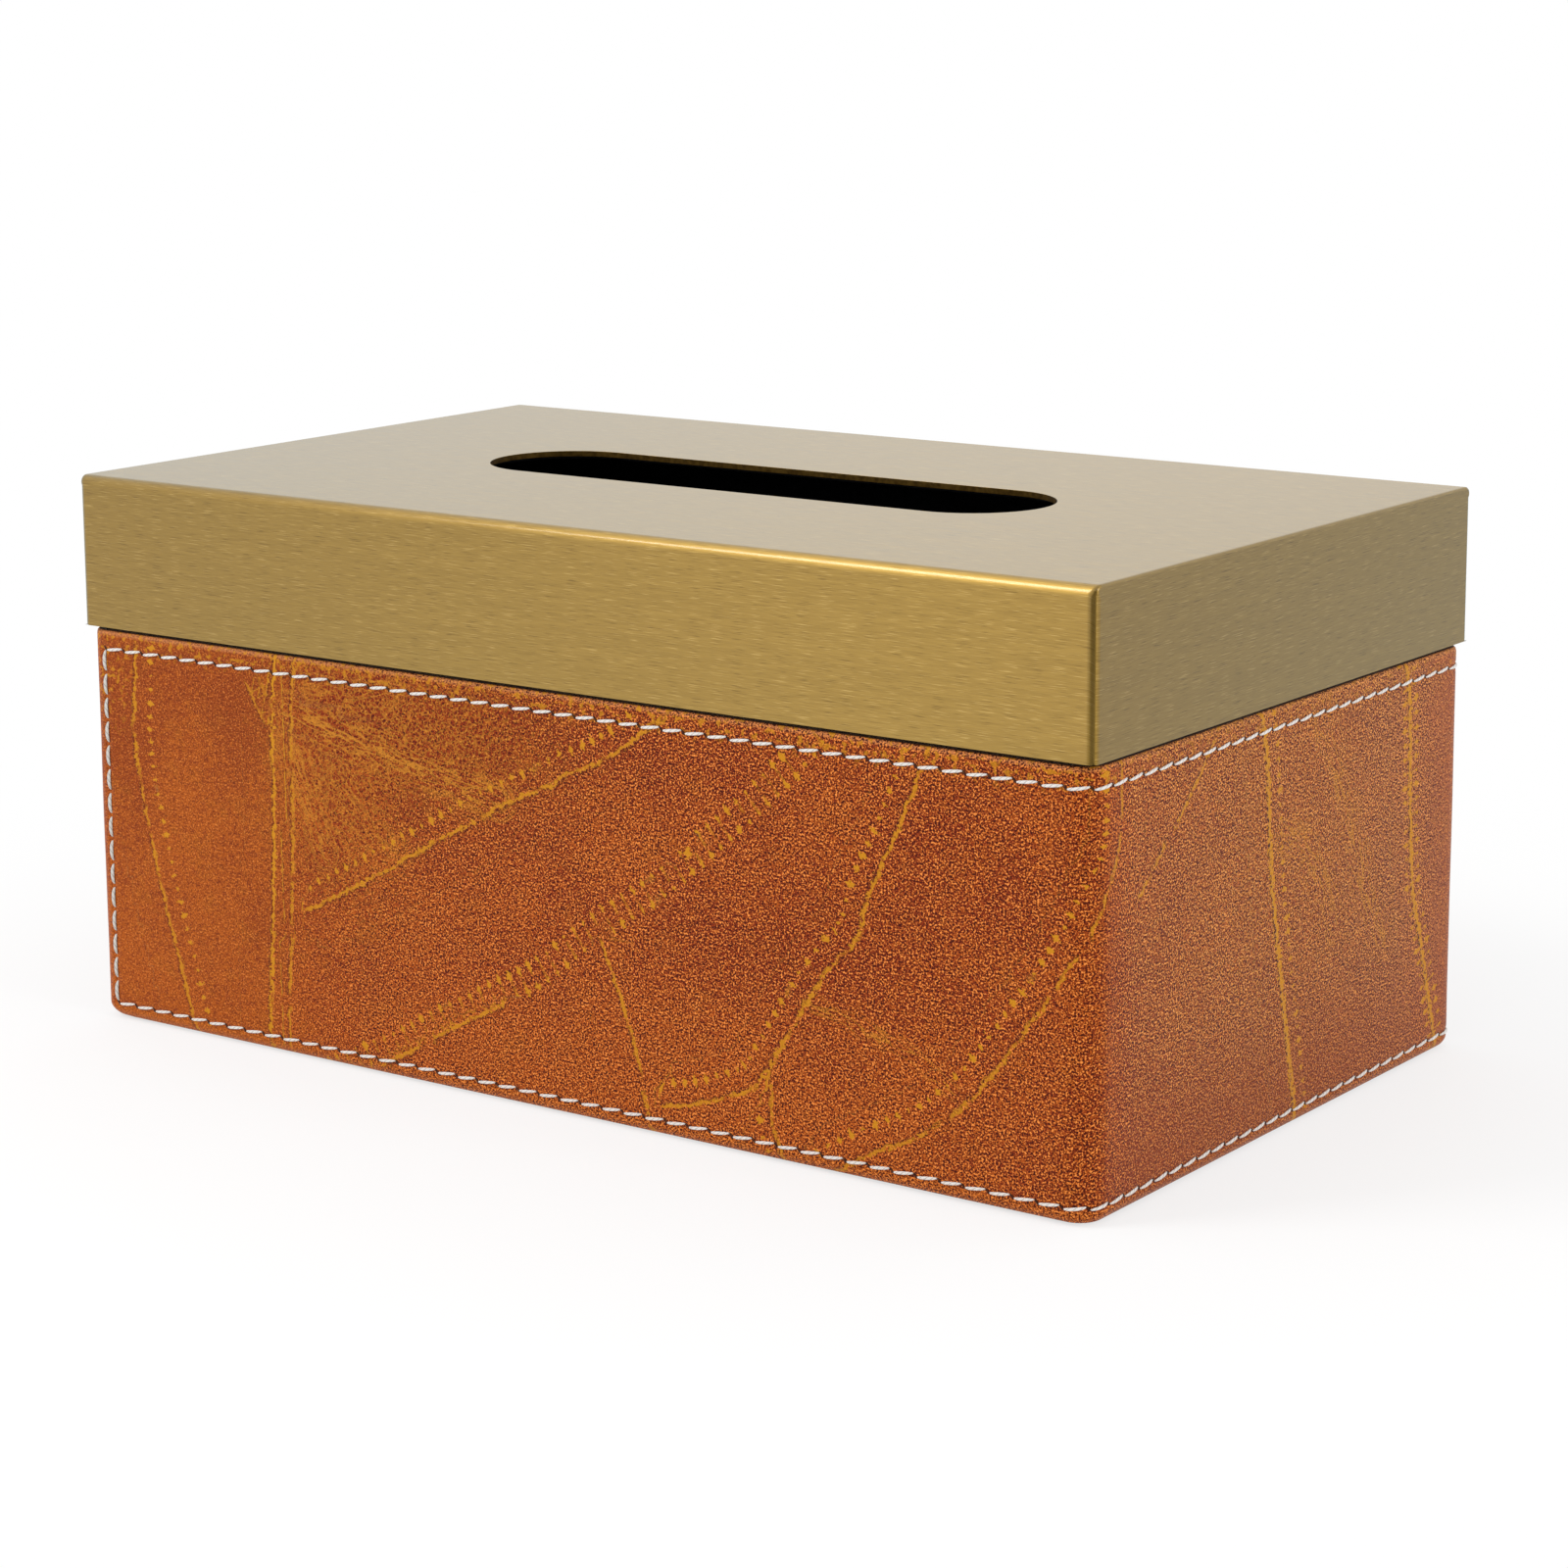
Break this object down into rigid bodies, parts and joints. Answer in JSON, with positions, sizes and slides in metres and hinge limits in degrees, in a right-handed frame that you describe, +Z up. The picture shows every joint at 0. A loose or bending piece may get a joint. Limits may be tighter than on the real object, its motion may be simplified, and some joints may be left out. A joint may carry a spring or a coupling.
{
  "type": "tissue box holder",
  "caption": "Rectangular tissue box holder: a stitched leather-wrapped case with a black cloth lining, under a lift-off brushed metal lid with a long round-ended slot for the tissues.",
  "frame": {"origin": "middle of the underside, on the surface that the holder stands on", "axes": "+X along the length to the right end, -Y to the front, +Z up"},
  "size_m": [0.25, 0.147, 0.1175],
  "materials": {
    "brushed_brass": "brushed along each face, satin",
    "leather": "waxy, fine grained, with ochre crease lines",
    "fibreboard": "raw, matt",
    "black_cloth": "short nap, matt",
    "felt": "pressed felt, matt",
    "thread": "waxed sewing thread"
  },
  "bodies": {
    "case": {"front_board": "fibreboard", "back_board": "fibreboard", "left_board": "fibreboard", "right_board": "fibreboard", "bottom_board": "fibreboard", "wall_lining": "black_cloth", "floor_lining": "black_cloth", "base_felt": "felt", "wrap_backing": "fibreboard", "leather_wrap": "leather"},
    "lid": {"lid_cover": "brushed_brass", "lid_lining": "black_cloth"}
  },
  "joints": [
    {"name": "lid_lift", "type": "slide", "parent": "case", "child": "lid", "axis": [0, 0, 1], "range_m": [0, 0.15]}
  ]
}
